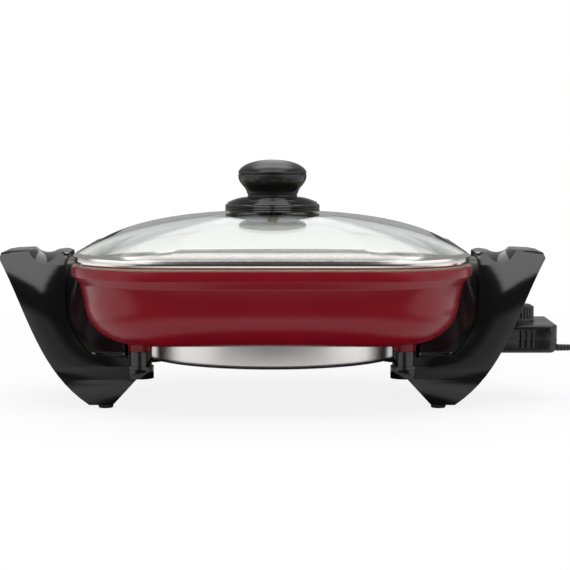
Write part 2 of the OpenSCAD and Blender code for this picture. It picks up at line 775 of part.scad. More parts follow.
module probe_rod() {
    tip_x = ctrl_x0 - probe_len;
    color(steel) from_pan() translate([0, 0, sleeve_z]) {
        rod_x(tip_x + 1, ctrl_x0 + ctrl_wall + 4.5, probe_r);
        translate([tip_x, 0, 0]) rotate([0, 90, 0]) cylinder(h = 1, r1 = probe_r - 1, r2 = probe_r);
    }
}

frame_x = ctrl_x0 + ctrl_wall + 1;
frame_t = 1.2;

module thermostat_frame() {
    color(steel) from_pan() difference() {
        union() {
            block([frame_x, -7, frame_z], [dial_x + 2, 7, frame_z + frame_t]);
            block([frame_x, -7, frame_z], [frame_x + frame_t, 7, sleeve_z + probe_r + 2]);
        }
        translate([0, 0, sleeve_z]) rod_x(frame_x - 1, frame_x + frame_t + 1, probe_r + hole_gap);
    }
}

stack_x = frame_x + 6.5;
stack_len = 8;
contact_inset = 8;                      // from the dial's axis to the pair of contacts
blade_z = port_z + 3;
blade_t = 0.7;
arm_z0 = blade_z + blade_t + 1.8;

module insulator_stack() {
    color(ceramic) from_pan() {
        block([stack_x, -5, frame_z + frame_t], [stack_x + stack_len, 5, blade_z]);
        block([stack_x, -5, blade_z + blade_t], [stack_x + stack_len, 5, arm_z0]);
    }
}

module bimetal_blade() {
    color(brass) from_pan() {
        block([stack_x, -3.5, blade_z], [dial_x - 5, 3.5, blade_z + blade_t]);
        translate([dial_x - contact_inset, 0, blade_z + blade_t]) cylinder(h = 0.7, r = 1.6);
    }
}

module contact_arm() {
    color(brass) from_pan() {
        block([stack_x, -3.5, arm_z0], [dial_x + 4, 3.5, arm_z0 + 0.6]);
        translate([dial_x - contact_inset, 0, arm_z0 - 0.7]) cylinder(h = 0.7, r = 1.6);
    }
}

module contact_sockets() {
    color(brass) from_pan() at_pins() difference() {
        union() {
            rod_x(socket_x0, socket_x0 + socket_len, socket_r);
            block([socket_x0 + socket_len - 1, -2.5, -0.5], [dial_x, 2.5, 0.5]);
        }
        rod_x(socket_x0 - 1, port_x + port_t + pin_len + 1, pin_r + slide_gap);
    }
}

clamp_inset = 20;                       // from the housing's end to the clamp
clamp_size = [6, 12, 7];

module cord_clamp() {
    x = ctrl_x1 - clamp_inset;
    color([0.16, 0.16, 0.17]) from_pan() difference() {
        translate([x, cord_y - clamp_size[1] / 2, floor_z]) cube(clamp_size);
        translate([0, cord_y, cord_z]) rod_x(x - 1, x + clamp_size[0] + 1, relief_r + hole_gap);
    }
}

module strain_relief() {
    color(black) from_pan() translate([0, cord_y, cord_z]) {
        rod_x(ctrl_x1 - relief_in, ctrl_x1, relief_r);
        translate([ctrl_x1, 0, 0]) rotate([0, 90, 0])
            cylinder(h = relief_len, r1 = relief_r, r2 = cord_d / 2 + 0.1);
    }
}

// ---- Dial ----

cap_r = dial_r - 2.6;

module control_dial() {
    top_z = dial_z + dial_h;
    color(black) from_pan() translate([dial_x, 0, 0]) difference() {
        union() {
            translate([0, 0, dial_z]) cylinder(h = 1.8, r = dial_r + 1.2);
            translate([0, 0, dial_z + 1.8]) cylinder(h = dial_h - 2.6, r1 = dial_r, r2 = dial_r - 0.4);
            translate([0, 0, top_z - 0.8]) cylinder(h = 0.8, r1 = dial_r - 0.4, r2 = dial_r - 1.2);
        }
        for (k = [1:dial_grooves]) rotate(360 * k / dial_grooves) translate([dial_r + 0.3, 0, dial_z + 3.2])
            cylinder(h = dial_h, r = 0.75, $fn = 16);
        translate([0, 0, top_z - 1]) cylinder(h = 2, r = cap_r + hole_gap);
        translate([0, 0, dial_z - 1]) cylinder(h = dial_h - 1, r = shaft_r);
    }
}

module dial_cap() {
    color([0.45, 0.45, 0.46]) from_pan() translate([dial_x, 0, dial_z + dial_h - 1]) {
        cylinder(h = 1.1, r = cap_r);
        translate([cap_r - 4.5, -0.8, 1]) cube([3.6, 1.6, 0.6]);
    }
}

module dial_shaft() {
    color(steel) from_pan() translate([dial_x, 0, 0]) {
        translate([0, 0, arm_z0 + 2]) cylinder(h = dial_z + dial_h - 4 - arm_z0, r = shaft_r);
        translate([0, 0, arm_z0 + 1]) cylinder(h = 2, r = 1.5);
    }
}

// ---- Cord ----

coil_turns = 5.25;
coil_reverse = coil_turns / 2;
coil_pitch = cord_d + 0.55;
layer_rise = cord_d + 0.5;
coil_r = 28.8;
lead_start = [ctrl_x1 + relief_len, cord_y, cord_z];
coil_at = [lead_start[0] + 74, cord_y + coil_r, cord_d / 2];

// The coil winds in for half its turns and out again on top, and climbs in the half turn between
function coil_point(t) =
    let (r = coil_r - coil_pitch * (coil_reverse - abs(t - coil_reverse)),
        a = 360 * t - 90,
        climb = min(1, max(0, t - coil_reverse + 0.25) * 2))
    coil_at + [r * cos(a), r * sin(a), layer_rise * (3 - 2 * climb) * climb * climb];
coil_steps = ceil(24 * coil_turns);
coil_body = [for (i = [0:coil_steps]) coil_point(coil_turns * i / coil_steps)];
coil_route = concat([coil_body[0] - [cord_d, 0, 0]], coil_body, [coil_body[coil_steps] + [0, cord_d, 0]]);

// The lead hangs from the relief to the table: distance from its start, share of its height
lead_hang = [[12, 0.98], [20, 0.9], [27, 0.76], [33, 0.58], [39, 0.38], [45, 0.2], [52, 0.08], [60, 0.02]];
lead_route = concat([lead_start, lead_start + [cord_d, 0, 0]],
    [for (p = lead_hang) [lead_start[0] + p[0], cord_y, coil_at[2] + p[1] * (cord_z - coil_at[2])]],
    [coil_route[0]]);
// The tail sinks off the coil and rises to the plug: distance past the coil's middle, height
tail_fall = [[10, 6.4], [18, 4.8], [26, 3], [34, 2.3], [42, 2.8], [50, 4.8], [58, 6.4], [63, 6.8], [68, 6.8]];
tail_route = concat([coil_route[len(coil_route) - 1]],
    [for (p = tail_fall) [coil_at[0] + coil_r, coil_at[1] + p[0], p[1]]]);
plug_at = tail_route[len(tail_route) - 1];

function tangent(p, i) = unit(p[min(i + 1, len(p) - 1)] - p[max(i - 1, 0)]);
function tube_ring(p, i, r, sides) =
    let (t = tangent(p, i), n = unit(cross([0, 0, 1], t)), b = cross(t, n))
    [for (k = [0:sides - 1]) let (a = 360 * (k + 0.5) / sides) p[i] + r * (cos(a) * n + sin(a) * b)];

module tube(p, d, sides) {
    m = len(p);
    end = (m - 1) * sides;
    polyhedron([for (i = [0:m - 1]) each tube_ring(p, i, d / 2, sides)], concat(
        [for (i = [0:m - 2]) each band_faces(i * sides, (i + 1) * sides, sides)],
        [for (k = [1:sides - 2]) [0, k, k + 1]],
        [for (k = [1:sides - 2]) [end, end + k + 1, end + k]]));
}

// Least gap between turns, between points at least half a turn apart
function coil_gap() = min([for (i = [0:coil_steps - 13]) for (j = [i + 13:coil_steps])
    norm(coil_body[i] - coil_body[j])]) - cord_d;
function sum(v) = v * [for (x = v) 1];
function route_len(p) = sum([for (i = [1:len(p) - 1]) norm(p[i] - p[i - 1])]);

module cord_lead() {
    color(black) from_pan() tube(lead_route, cord_d, 8);
}

module cord_coil() {
    echo(coil_gap = coil_gap());
    echo(cord_length = relief_len + route_len(lead_route) + route_len(coil_route) + route_len(tail_route));
    color(black) from_pan() tube(coil_route, cord_d, 6);
}

module cord_tail() {
    color(black) from_pan() tube(tail_route, cord_d, 8);
}

plug_len = 38;
plug_w = 34;
plug_t = 2 * plug_at[2];

// The plug points along +Y: a tapered grip behind a flat face with two round pins
module plug_body() {
    color(black) from_pan() translate(plug_at) {
        intersection() {
            translate([0, 0, -plug_t / 2]) linear_extrude(plug_t) polygon([[-4, 12], [-6, 18],
                [-plug_w / 2 + 3, 24], [-plug_w / 2, 28], [-plug_w / 2, plug_len], [plug_w / 2, plug_len],
                [plug_w / 2, 28], [plug_w / 2 - 3, 24], [6, 18], [4, 12]]);
            rotate([-90, 0, 0]) translate([-plug_w / 2, -plug_t / 2]) linear_extrude(plug_len)
                rounded(plug_w, plug_t, 3);
        }
        rotate([-90, 0, 0]) cylinder(h = 14, r1 = cord_d / 2 + 0.3, r2 = 4);
    }
}

module plug_pins() {
    color(steel) from_pan() translate(plug_at) for (x = [-9.5, 9.5])
        translate([x, plug_len, 0]) rotate([-90, 0, 0]) {
            cylinder(h = 18, r = 2);
            translate([0, 0, 18]) cylinder(h = 1, r1 = 2, r2 = 1);
        }
}

// The whole part is centred on the origin along X, so the pan stands a little to the left
pan_x = (handle_x - ctrl_x1) / 2;

module from_pan() {
    translate([pan_x, 0, 0]) children();
}

pan_body();
heating_element();
terminal_pins();
terminal_insulators();
probe_sleeve();
heat_reflector();
reflector_screws();
handle_left();
handle_right();
handle_screws();
foot_pads();
lid_glass();
lid_rim();
knob_gasket();
knob_flange();
knob_body();
knob_cap();
knob_washer();
knob_screw();
control_base();
control_cover();
control_screws();
probe_rod();
thermostat_frame();
insulator_stack();
bimetal_blade();
contact_arm();
contact_sockets();
cord_clamp();
strain_relief();
cord_lead();
cord_coil();
cord_tail();
plug_body();
plug_pins();
control_dial();
dial_cap();
dial_shaft();
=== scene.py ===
import math

import bmesh
import bpy
from mathutils import Matrix, Vector


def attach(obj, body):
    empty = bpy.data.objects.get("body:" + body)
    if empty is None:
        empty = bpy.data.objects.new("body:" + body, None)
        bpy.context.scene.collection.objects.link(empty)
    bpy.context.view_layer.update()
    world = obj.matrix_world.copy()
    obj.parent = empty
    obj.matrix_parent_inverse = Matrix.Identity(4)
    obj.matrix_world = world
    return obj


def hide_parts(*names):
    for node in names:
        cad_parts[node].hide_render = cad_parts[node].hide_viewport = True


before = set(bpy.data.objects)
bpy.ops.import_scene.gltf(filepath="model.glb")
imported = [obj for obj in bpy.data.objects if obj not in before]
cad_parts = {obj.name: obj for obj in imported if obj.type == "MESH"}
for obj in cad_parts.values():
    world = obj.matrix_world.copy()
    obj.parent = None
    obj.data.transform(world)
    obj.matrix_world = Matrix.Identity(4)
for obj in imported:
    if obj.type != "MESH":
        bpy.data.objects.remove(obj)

for startup in ("Cube", "Light", "Camera"):
    if startup in bpy.data.objects:
        bpy.data.objects.remove(bpy.data.objects[startup])

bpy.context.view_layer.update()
mm = 0.001
panX = -4.75  # the pan's middle in the row's frame, in mm like every size below

cameraPlace = {"x": 9.94, "y": -1457.0, "z": 213.3, "aimZ": 90.1, "lens": 116.16, "sensor": 36.0, "far": 50.0}
lampList = [  # name, place, aim, size x and y, watts
    ("leftBox", (-456, -651, 1372), (0, 0, 100), (800, 860), 6.3),
    ("rightBox", (456, -651, 1372), (0, 0, 100), (800, 860), 6.3),
    ("topBox", (0, 500, 1500), (0, 40, 100), (1500, 600), 6.0),
]


def point(p, shift=panX):
    return Vector(((p[0] + shift) * mm, p[1] * mm, p[2] * mm))


def shown(obj):
    bpy.context.scene.collection.objects.link(obj)
    return obj


def aimed(obj, place, target):
    obj.location = place
    obj.rotation_euler = (target - place).to_track_quat("-Z", "Y").to_euler()
    shown(obj)


def makeCamera():
    c = cameraPlace
    data = bpy.data.cameras.new("camera")
    data.lens = c["lens"]
    data.sensor_width = c["sensor"]
    data.clip_end = c["far"]
    camera = bpy.data.objects.new("camera", data)
    aimed(camera, point((c["x"], c["y"], c["z"])), point((c["x"], 0, c["aimZ"])))
    bpy.context.scene.camera = camera


def makeLamps():
    for name, place, target, size, watts in lampList:
        data = bpy.data.lights.new(name, "AREA")
        data.shape = "RECTANGLE"
        data.size, data.size_y = size[0] * mm, size[1] * mm
        data.energy = watts
        aimed(bpy.data.objects.new(name, data), point(place, 0), point(target, 0))


class Wire:  # a socket that can be used in sums
    def __init__(self, finish, socket):
        self.finish = finish
        self.socket = socket

    def maths(self, operation, *others):
        return self.finish.add("ShaderNodeMath", {"operation": operation}, dict(enumerate((self,) + others)))

    def flipped(self, operation, other):
        return self.finish.add("ShaderNodeMath", {"operation": operation}, {0: other, 1: self})

    def __add__(self, other):
        return self.maths("ADD", other)

    __radd__ = __add__

    def __sub__(self, other):
        return self.maths("SUBTRACT", other)

    def __rsub__(self, other):
        return self.flipped("SUBTRACT", other)

    def __mul__(self, other):
        return self.maths("MULTIPLY", other)

    __rmul__ = __mul__

    def __truediv__(self, other):
        return self.maths("DIVIDE", other)

    def __rtruediv__(self, other):
        return self.flipped("DIVIDE", other)

    def __pow__(self, other):
        return self.maths("POWER", other)

    def smooth(self, low, high):  # 0 below low, 1 above high
        return self.finish.add("ShaderNodeMapRange", {"interpolation_type": "SMOOTHSTEP"},
                               {"Value": self, "From Min": low, "From Max": high})


class Finish:  # a material's or the world's node tree
    def __init__(self, name, tree=None):
        if tree is None:
            self.material = bpy.data.materials.new(name)
            self.material.use_nodes = True
            tree = self.material.node_tree
        self.tree = tree
        self.tree.nodes.clear()

    def add(self, kind, settings=None, inputs=None, output=0):
        node = self.tree.nodes.new(kind)
        for key, value in (settings or {}).items():
            setattr(node, key, value)
        for key, value in (inputs or {}).items():
            if isinstance(value, Wire):
                self.tree.links.new(value.socket, node.inputs[key])
            else:
                node.inputs[key].default_value = value
        return Wire(self, node.outputs[output]) if node.outputs else None

    def blend(self, a, b, factor):
        a, b = [v if isinstance(v, Wire) else (*v, 1) for v in (a, b)]
        return self.add("ShaderNodeMix", {"data_type": "RGBA"}, {0: factor, 6: a, 7: b}, 2)

    def place(self, output=3):  # Object coordinates, or Generated ones for the world
        return self.add("ShaderNodeTexCoord", output=output)

    def axes(self, place=None):
        split = self.tree.nodes.new("ShaderNodeSeparateXYZ")
        self.tree.links.new((place or self.place()).socket, split.inputs[0])
        return [Wire(self, socket) for socket in split.outputs]

    def rays(self):
        kinds = self.tree.nodes.new("ShaderNodeLightPath")
        return [Wire(self, kinds.outputs[n])
                for n in ("Is Camera Ray", "Is Glossy Ray", "Is Transmission Ray")]

    def noise(self, scale, detail=3.0, stretch=None):
        place = self.place()
        if stretch:
            place = self.add("ShaderNodeMapping", None, {0: place, "Scale": stretch})
        return self.add("ShaderNodeTexNoise", None, {"Vector": place, "Scale": scale, "Detail": detail})

    def bump(self, height, strength, distance):
        return self.add("ShaderNodeBump", None,
                        {"Height": height, "Strength": strength, "Distance": distance})

    def surface(self, **values):
        values = {key.replace("_", " "): value for key, value in values.items()}
        self.add("ShaderNodeOutputMaterial", None, {0: self.add("ShaderNodeBsdfPrincipled", None, values)})
        return self.material


steelLook = {"grain": 900, "cloud": 35, "shadow": 0.9, "rough": (0.7, 0.6), "bump": (0.06, 0.0002)}


def steelFinish(name, shade, rough, streak):
    f, s = Finish(name), steelLook
    grain = f.noise(s["grain"], stretch=streak)
    cloud = f.noise(s["cloud"])
    return f.surface(Base_Color=f.blend([c * s["shadow"] for c in shade], shade, cloud), Metallic=1.0,
                     Roughness=rough * s["rough"][0] + grain * rough * s["rough"][1],
                     Normal=f.bump(grain, *s["bump"]))


plasticLook = {"cloud": 60, "lighter": 1.35, "lift": 0.001, "rough": (0.8, 0.4), "bumpDepth": 0.0002}


def plasticFinish(name, shade, rough, grainSize=1400, grainDepth=0.05):
    f, s = Finish(name), plasticLook
    cloud = f.noise(s["cloud"])
    grain = f.noise(grainSize, 2.0)
    light = [min(1, c * s["lighter"] + s["lift"]) for c in shade]
    return f.surface(Base_Color=f.blend(shade, light, cloud),
                     Roughness=rough * s["rough"][0] + cloud * rough * s["rough"][1],
                     Normal=f.bump(grain, grainDepth, s["bumpDepth"]))


enamelLook = {"deep": (0.165, 0.0004, 0.0065), "full": (0.2, 0.0008, 0.0085), "cloud": 25,
              "flake": (0.34, 0.004, 0.02), "flakeSize": 5200, "flakeFrom": (0.62, 0.8), "flakeShare": 0.5,
              "rough": 0.2, "cloudRough": 0.08, "specular": 0.35, "peel": 700, "bump": (0.04, 0.0003)}


def enamelFinish():
    f, s = Finish("redEnamel"), enamelLook
    cloud = f.noise(s["cloud"])
    flake = f.noise(s["flakeSize"], 1.0)
    peel = f.noise(s["peel"], 1.0)
    shade = f.blend(s["deep"], s["full"], cloud)
    shade = f.blend(shade, s["flake"], flake.smooth(*s["flakeFrom"]) * s["flakeShare"])
    return f.surface(Base_Color=shade, Roughness=s["rough"] + cloud * s["cloudRough"],
                     Specular_IOR_Level=s["specular"], Normal=f.bump(peel, *s["bump"]))


creamLook = {"dark": (0.56, 0.53, 0.38), "light": (0.61, 0.58, 0.43), "cloud": 30,
             "speck": (0.50, 0.45, 0.35), "speckSize": 1600, "speckFrom": (0.66, 0.76), "speckShare": 0.5,
             "rough": 0.32, "speckRough": 0.12, "bump": (0.05, 0.0002)}


def creamFinish():
    f, s = Finish("creamCoating"), creamLook
    cloud = f.noise(s["cloud"])
    speck = f.noise(s["speckSize"], 2.0)
    shade = f.blend(s["dark"], s["light"], cloud)
    shade = f.blend(shade, s["speck"], speck.smooth(*s["speckFrom"]) * s["speckShare"])
    return f.surface(Base_Color=shade, Roughness=s["rough"] + speck * s["speckRough"],
                     Normal=f.bump(speck, *s["bump"]))


glassLook = {"dull": (0.965, 0.98, 0.972), "clear": (0.985, 0.995, 0.988), "slanted": (0.88, 0.905, 0.92),
             "slant": (0.7, 0.94), "smear": 18, "rough": 0.02, "ior": 1.38}


def glassFinish():
    f, s = Finish("clearGlass"), glassLook
    smear = f.noise(s["smear"])
    slant = f.add("ShaderNodeLayerWeight", None, {"Blend": 0.5}, 1).smooth(*s["slant"])
    tint = f.blend(s["dull"], s["clear"], smear)
    return f.surface(Base_Color=f.blend(tint, s["slanted"], slant), Roughness=smear * s["rough"],
                     IOR=s["ior"], Transmission_Weight=1.0)


brushedLook = {"dark": (0.72, 0.71, 0.69), "light": (0.84, 0.83, 0.81), "lines": 5200.0, "cloud": 40,
               "rough": 0.24, "lineRough": 0.12, "cloudRough": 0.06, "bump": (0.1, 0.0001)}


def brushedFinish():  # turned lines round the reflector's axis
    f, s = Finish("brushedSteel"), brushedLook
    x, y, z = f.axes()
    radius = ((x - panX * mm) ** 2 + y ** 2) ** 0.5
    lines = f.add("ShaderNodeTexNoise", {"noise_dimensions": "1D"},
                  {"W": radius + z, "Scale": s["lines"], "Detail": 2.0})
    cloud = f.noise(s["cloud"])
    return f.surface(Base_Color=f.blend(s["dark"], s["light"], lines), Metallic=1.0,
                     Roughness=s["rough"] + lines * s["lineRough"] + cloud * s["cloudRough"],
                     Normal=f.bump(lines, *s["bump"]))


# the floor's colour as gloss sees it is painted light and shade: a painted shadow under the pan, a ring of
# painted light round it and painted light to the sides
floorLook = {"half": 9.0, "z": -0.0004, "colour": (0.8, 0.8, 0.8),
             "glow": 0.86, "glowFull": (0.3, 0.95),  # white share in the middle; radii where it grows to all
             "paintedShadeForGloss": (0.04, 0.04, 0.04), "paintedLightForGloss": (0.95, 0.95, 0.95),  # as gloss sees it
             "paintedLitRingFrom": (0.15, 0.17), "paintedLitRingTo": (0.21, 0.3),
             "paintedLitSidesFrom": (0.2, 0.27), "paintedLitSideShare": (0.55, 0.8)}


def floorFinish():
    f, s = Finish("paleFloor"), floorLook
    camera, glossy, through = f.rays()
    x, y, z = f.axes()
    radius = (x * x + y * y) ** 0.5
    across = x.maths("ABSOLUTE")
    seen = camera.maths("MAXIMUM", through) * (s["glow"] + radius.smooth(*s["glowFull"]) * (1 - s["glow"]))
    # painted light in a ring round the pan and to the sides, painted shade under the pan and everywhere else,
    # only as gloss sees the floor
    ring = radius.smooth(*s["paintedLitRingFrom"]) * (1 - radius.smooth(*s["paintedLitRingTo"]))
    sides = across.smooth(*s["paintedLitSidesFrom"]) * (across / radius).smooth(*s["paintedLitSideShare"])
    mirrored = f.blend(s["paintedShadeForGloss"], s["paintedLightForGloss"], ring.maths("MAXIMUM", sides))
    plain = f.add("ShaderNodeBsdfDiffuse", None, {"Color": (*s["colour"], 1)})
    other = f.add("ShaderNodeBsdfDiffuse", None, {"Color": mirrored})
    lit = f.add("ShaderNodeMixShader", None, {0: glossy, 1: plain, 2: other})
    white = f.add("ShaderNodeEmission", None, {"Color": (1, 1, 1, 1), "Strength": 1.0})
    f.add("ShaderNodeOutputMaterial", None,
          {0: f.add("ShaderNodeMixShader", None, {0: seen, 1: lit, 2: white})})
    return f.material


def makeFloor():
    half, z = floorLook["half"], floorLook["z"]
    floor = shown(bpy.data.objects.new("floor", bpy.data.meshes.new("floor")))
    corners = [(x * half, y * half, z) for x, y in ((-1, -1), (1, -1), (1, 1), (-1, 1))]
    floor.data.from_pydata(corners, [], [(0, 1, 2, 3)])
    floor.data.materials.append(floorFinish())


studioLook = {"plain": 0.68,  # what lights matt surfaces; the rest is what gloss mirrors
              "dark": 0.02, "behind": 0.32, "behindFrom": (-0.2, 0.3),
              "panel": 1.03, "panelEdge": (-0.03, 0.05), "panelSpread": 1.7,
              "lowTop": (0.48, 0.56), "lowEnd": (0.0, 0.5), "lowDim": 0.03,
              "lowNear": (0.02, 0.16), "lowNearBy": 0.38, "lowSide": (0.2, 0.5), "lowSideBy": 0.9}


def makeWorld():
    world = bpy.data.worlds.new("world")
    world.use_nodes = True
    bpy.context.scene.world = world
    f, s = Finish("world", world.node_tree), studioLook
    camera, glossy, through = f.rays()
    x, y, z = f.axes(f.place(0))
    across = x.maths("ABSOLUTE")
    panel = z.maths("MAXIMUM", 0.0) ** 2 - across * s["panelSpread"]  # a pale panel that widens upwards
    behind = y.smooth(*s["behindFrom"]) * (s["behind"] + panel.smooth(*s["panelEdge"]) * s["panel"])
    low = (s["lowDim"] + across.smooth(*s["lowNear"]) * s["lowNearBy"]
           + across.smooth(*s["lowSide"]) * s["lowSideBy"])
    low = (1 - z.smooth(*s["lowTop"])) * low * (1 - y.smooth(*s["lowEnd"]))
    mirrored = behind.maths("MAXIMUM", low) + s["dark"]
    seen = camera.maths("MAXIMUM", through)
    strength = seen + (1 - seen) * (glossy * mirrored + (1 - glossy) * s["plain"])
    back = f.add("ShaderNodeBackground", None, {"Color": (1, 1, 1, 1), "Strength": strength})
    f.add("ShaderNodeOutputWorld", None, {0: back})


print("stage: camera, lamps, world and floor")
bpy.context.scene.view_settings.view_transform = "Standard"
makeCamera()
makeLamps()
makeWorld()

finishes = {
    "red": enamelFinish(),
    "cream": creamFinish(),
    "glass": glassFinish(),
    "black": plasticFinish("blackMoulding", (0.004, 0.004, 0.0043), 0.09),
    "knobBlack": plasticFinish("knobBlack", (0.006, 0.006, 0.0065), 0.32),
    "flangeBlack": plasticFinish("flangeBlack", (0.006, 0.006, 0.0065), 0.16),
    "controlBlack": plasticFinish("controlBlack", (0.005, 0.005, 0.0055), 0.2, 2600, 0.12),
    "dialBlack": plasticFinish("dialBlack", (0.045, 0.045, 0.046), 0.38, 2600, 0.12),
    "dialGrey": plasticFinish("dialGrey", (0.13, 0.13, 0.135), 0.4, 2200, 0.15),
    "rubber": plasticFinish("footRubber", (0.018, 0.018, 0.018), 0.7, 1800, 0.3),
    "seal": plasticFinish("sealRubber", (0.03, 0.03, 0.03), 0.6, 1800, 0.2),
    "cord": plasticFinish("cordJacket", (0.010, 0.010, 0.011), 0.42, 1500, 0.15),
    "clamp": plasticFinish("clampPlastic", (0.05, 0.05, 0.052), 0.5),
    "ceramic": plasticFinish("pinCeramic", (0.72, 0.69, 0.62), 0.6, 2500, 0.3),
    "rimSteel": steelFinish("rimSteel", (0.80, 0.785, 0.76), 0.12, (1, 1, 12)),
    "brightSteel": steelFinish("brightSteel", (0.76, 0.75, 0.73), 0.16, (12, 1, 1)),
    "zinc": steelFinish("zincScrew", (0.62, 0.61, 0.59), 0.32, (1, 1, 1)),
    "brass": steelFinish("contactBrass", (0.76, 0.56, 0.27), 0.28, (6, 1, 1)),
    "element": steelFinish("elementSheath", (0.20, 0.185, 0.175), 0.45, (1, 1, 1)),
    "brushed": brushedFinish(),
}
makeFloor()

# welds in metres, angles in degrees, flatCorner in radians
meshForm = {"weld": 1e-7, "cadWeld": 2e-6, "cadFlat": 0.6, "sharp": 40, "cadSharp": 32,
            "flatCorner": 1.55, "filletShare": 0.49, "filletStep": 15}


def finished(name, verts, faces, slots, faceSlots, sharp):
    mesh = bpy.data.meshes.new(name)
    mesh.from_pydata([point(v) for v in verts], [], faces)
    for slot in slots:
        mesh.materials.append(finishes[slot])
    mesh.polygons.foreach_set("material_index", faceSlots)
    bm = bmesh.new()
    bm.from_mesh(mesh)
    bmesh.ops.remove_doubles(bm, verts=bm.verts, dist=meshForm["weld"])
    bmesh.ops.recalc_face_normals(bm, faces=bm.faces)
    bm.to_mesh(mesh)
    bm.free()
    obj = shown(bpy.data.objects.new(name, mesh))
    smoothed(obj, sharp)
    return obj


def smoothed(obj, degrees):
    mesh = obj.data
    mesh.polygons.foreach_set("use_smooth", [True] * len(mesh.polygons))
    mesh.set_sharp_from_angle(angle=math.radians(degrees))


def joined(name, parts, sharp):  # one piece out of several, with their material slots kept
    bm = bmesh.new()
    slots = []
    for part in parts:
        for m in part.data.materials:
            if m not in slots:
                slots.append(m)
    for part in parts:
        start = len(bm.faces)
        bm.from_mesh(part.data)
        bm.faces.ensure_lookup_table()
        for face in bm.faces[start:]:
            face.material_index = slots.index(part.data.materials[face.material_index])
        bpy.data.objects.remove(part)
    mesh = bpy.data.meshes.new(name)
    bm.to_mesh(mesh)
    bm.free()
    for m in slots:
        mesh.materials.append(m)
    obj = shown(bpy.data.objects.new(name, mesh))
    smoothed(obj, sharp)
    return obj


def softened(path):  # a path of (r, z, fillet) with each corner rounded by its fillet
    out = []
    for i, corner in enumerate(path):
        p = Vector(corner[:2])
        fillet = corner[2] if len(corner) > 2 else 0
        if not fillet or i in (0, len(path) - 1):
            out.append(tuple(p))
            continue
        a, b = Vector(path[i - 1][:2]), Vector(path[i + 1][:2])
        u, v = (a - p).normalized(), (b - p).normalized()
        half = math.acos(max(-1, min(1, u.dot(v)))) / 2
        if half > meshForm["flatCorner"]:
            out.append(tuple(p))
            continue
        share = meshForm["filletShare"]
        back = min(fillet / math.tan(half), (a - p).length * share, (b - p).length * share)
        radius = back * math.tan(half)
        centre = p + (u + v).normalized() * (radius / math.sin(half))
        first, last = p + u * back - centre, p + v * back - centre
        turn = math.atan2(first.x * last.y - first.y * last.x, first.dot(last))
        steps = max(2, round(abs(math.degrees(turn)) / meshForm["filletStep"]))
        for k in range(steps + 1):
            c, s = math.cos(turn * k / steps), math.sin(turn * k / steps)
            out.append((centre.x + first.x * c - first.y * s, centre.y + first.x * s + first.y * c))
    return out


def arc(cx, cz, r, a0, a1, n):
    return [(cx + r * math.cos(math.radians(a0 + (a1 - a0) * i / n)),
             cz + r * math.sin(math.radians(a0 + (a1 - a0) * i / n))) for i in range(n + 1)]


def bezier(a, b, c, d, n):
    out = []
    for i in range(n + 1):
        t = i / n
        w = ((1 - t) ** 3, 3 * t * (1 - t) ** 2, 3 * t * t * (1 - t), t ** 3)
        out.append(tuple(sum(k * q[j] for k, q in zip(w, (a, b, c, d))) for j in (0, 1)))
    return out


def grid(name, rows, slots, rowSlots=None, closedRound=False, capped=False, sharp=meshForm["sharp"]):
    n = len(rows[0])  # each row of points runs round the piece
    verts = [v for row in rows for v in row]
    rowSlots = rowSlots or [0] * len(rows)
    faces, faceSlots = [], []
    for i in range(len(rows) if closedRound else len(rows) - 1):
        j = (i + 1) % len(rows)
        for k in range(n):
            m = (k + 1) % n
            faces.append((i * n + k, i * n + m, j * n + m, j * n + k))
            faceSlots.append(rowSlots[i])
    if capped:
        faces += [tuple(range(n)), tuple(range((len(rows) - 1) * n, len(rows) * n))]
        faceSlots += [rowSlots[0], rowSlots[-1]]
    return finished(name, verts, faces, slots, faceSlots, sharp)


def lathe(name, path, slot, centre=(0, 0), sides=96, closed=False, sharp=meshForm["sharp"]):
    rows = []
    for r, z in path:
        rows.append([(centre[0] + r * math.cos(2 * math.pi * k / sides),
                      centre[1] + r * math.sin(2 * math.pi * k / sides), z) for k in range(sides)])
    return grid(name, rows, [slot], closedRound=closed, sharp=sharp)


# the outline of pan and lid: corner arcs joined by nearly straight sides
panForm = {"half": 150.5, "corner": 75.0, "side": 100000.0, "cornerSteps": 20, "sideSteps": 14,
           "lip": 112.0, "depth": 58.4, "wall": 4.0, "band": 7.2, "step": 6.0, "lean": 3.0, "belly": 33.0,
           "bellySteps": 16, "floorEdge": 8.0, "boss": 9.1, "bossZ": 43.6, "bossX": 101.5, "bossY": 52.0,
           "postR": 5.0, "postZ": 36.1, "postAt": 62.0, "postAngles": (60, 180, 300)}
# the port plate: least way out from the belly's centre, half width, least way off the shell, sunk depth
plateForm = {"from": 9.0, "half": 27.5, "off": 0.05, "sink": 1.0}


def outlineSamples():  # centre, radius and direction of each point round the lip
    f = panForm
    tilt = math.pi / 4 + math.asin((f["half"] - f["side"]) / (math.sqrt(2) * (f["side"] - f["corner"])))
    c = (f["side"] - f["corner"]) * math.sin(tilt)
    out = []
    for quarter in range(4):
        turn = Matrix.Rotation(quarter * math.pi / 2, 2)
        middle = turn @ Vector((f["half"] - f["side"], 0))
        for k in range(f["sideSteps"]):
            out.append((middle, f["side"], -tilt + 2 * tilt * k / f["sideSteps"] + quarter * math.pi / 2))
        middle = turn @ Vector((c, c))
        for k in range(f["cornerSteps"]):
            a = tilt + (math.pi / 2 - 2 * tilt) * k / f["cornerSteps"]
            out.append((middle, f["corner"], a + quarter * math.pi / 2))
    return out


outline = outlineSamples()


def around(path):  # rows of points for a profile of (distance out from the lip's edge, z)
    return [[(c.x + (r + d) * math.cos(a), c.y + (r + d) * math.sin(a), z) for c, r, a in outline]
            for d, z in path]


